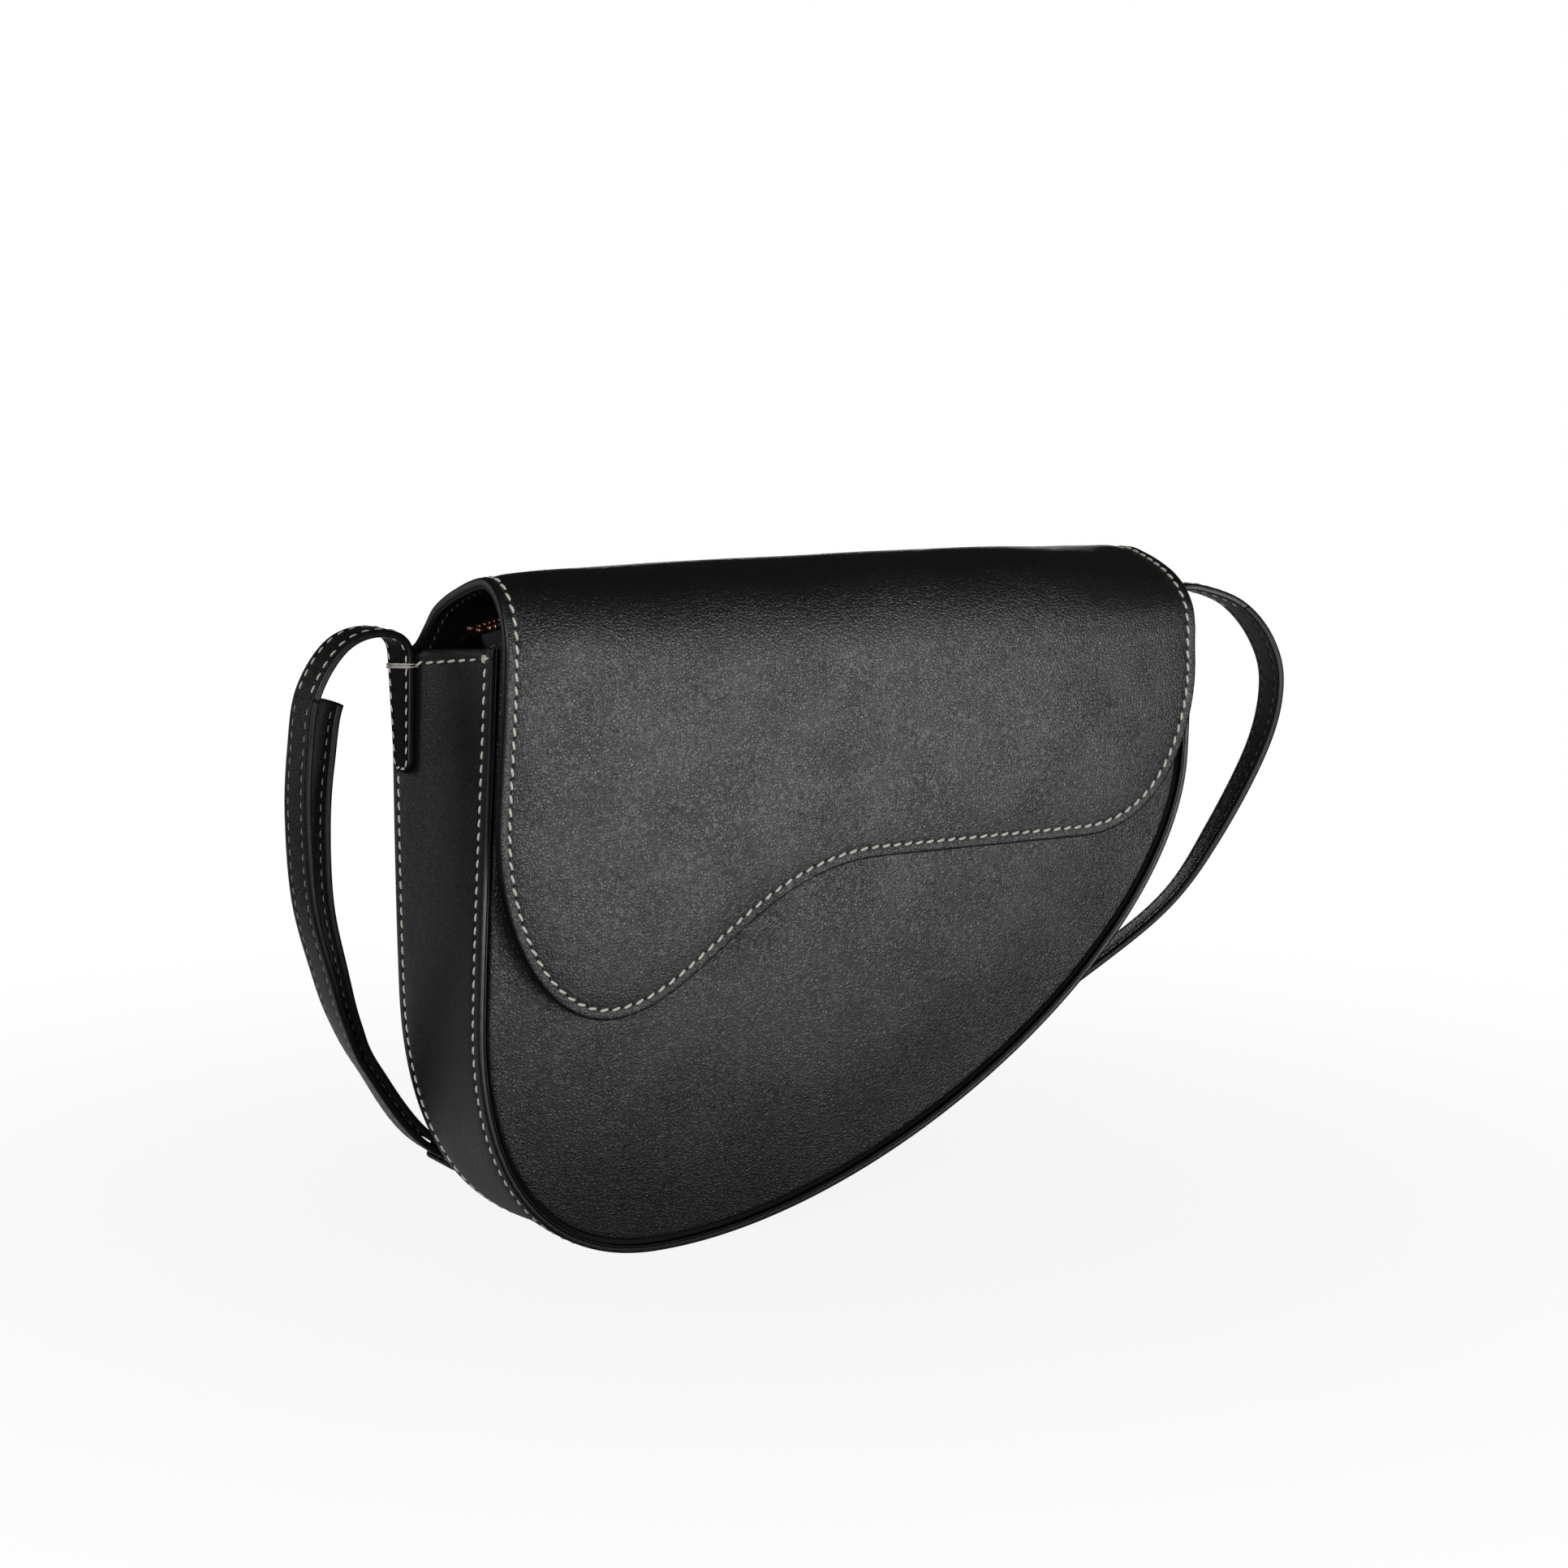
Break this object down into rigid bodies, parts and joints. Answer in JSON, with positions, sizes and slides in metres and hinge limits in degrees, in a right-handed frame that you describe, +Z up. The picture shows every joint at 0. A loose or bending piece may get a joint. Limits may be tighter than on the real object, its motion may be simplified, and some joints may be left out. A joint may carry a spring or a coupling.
{
  "type": "saddle handbag",
  "caption": "Round-bottomed leather saddle handbag with a wave-cut flap, zip mouth and buckled shoulder strap hanging behind.",
  "frame": {"origin": "on the line through the tops of the two strap arches, midway between the left and right gussets", "axes": "+X to the viewer's right along the mouth, +Y from the flap side to the back, +Z up"},
  "size_m": [0.3689, 0.0911, 0.212],
  "materials": {
    "body_leather": "soft black grained leather with a low sheen, painted edges",
    "lining_cloth": "plain black woven lining",
    "flap_lining_leather": "thin smooth black lining leather",
    "board": "fibre stiffening board",
    "magnet_steel": "flat nickel-plated magnet disc",
    "zip_tape": "black woven zip tape",
    "zip_metal": "copper-toned zip metal",
    "strap_leather": "smooth black strap leather, painted edges",
    "buckle_metal": "light gold-toned metal"
  },
  "bodies": {
    "bag": {"front_panel": "body_leather", "back_panel": "body_leather", "gusset": "body_leather", "front_board": "board", "back_board": "board", "front_lining": "lining_cloth", "back_lining": "lining_cloth", "gusset_lining": "lining_cloth", "front_facing": "body_leather", "back_facing": "body_leather", "slip_pocket": "lining_cloth", "body_magnet": "magnet_steel", "zip_panel_front": "body_leather", "zip_panel_back": "body_leather", "zip_tape_front": "zip_tape", "zip_tape_back": "zip_tape", "zip_teeth_front": "zip_metal", "zip_teeth_back": "zip_metal", "zip_end_stops": "zip_metal", "flap_root": "body_leather", "strap_tab_left": "strap_leather", "strap_tab_right": "strap_leather"},
    "flap": {"flap_leather": "body_leather", "flap_board": "board", "flap_lining": "flap_lining_leather", "flap_magnet": "magnet_steel"},
    "strap": {"strap_left": "strap_leather", "strap_right": "strap_leather", "strap_tail": "strap_leather", "buckle_frame": "buckle_metal", "buckle_bar": "buckle_metal", "fixed_keeper": "strap_leather"},
    "slider": {"zip_slider": "zip_metal"},
    "pull": {"zip_pull": "zip_metal"},
    "prong": {"buckle_prong": "buckle_metal"},
    "keeper": {"sliding_keeper": "strap_leather"}
  },
  "joints": [
    {"name": "flap_hinge", "type": "hinge", "parent": "bag", "child": "flap", "pos_m": [0, 0.0114, -0.0077], "axis": [-1, 0, 0], "range_deg": [0, 180]},
    {"name": "strap_swing", "type": "hinge", "parent": "bag", "child": "strap", "pos_m": [0, 0, 0], "axis": [1, 0, 0], "range_deg": [0, 180]},
    {"name": "zip_slide", "type": "slide", "parent": "bag", "child": "slider", "axis": [-1, 0, 0], "range_m": [0, 0.205]},
    {"name": "zip_pull_hinge", "type": "hinge", "parent": "slider", "child": "pull", "pos_m": [0.11115, -0.032, 0.009], "axis": [0, 1, 0], "range_deg": [0, 10]},
    {"name": "buckle_prong_hinge", "type": "hinge", "parent": "strap", "child": "prong", "pos_m": [-0.04206, 0.01505, -0.1824], "axis": [-0.0038, -1, 0.0001], "range_deg": [0, 70]},
    {"name": "keeper_slide", "type": "slide", "parent": "strap", "child": "keeper", "axis": [0.9149, 0.0176, -0.4032], "range_m": [-0.004, 0.004]}
  ]
}
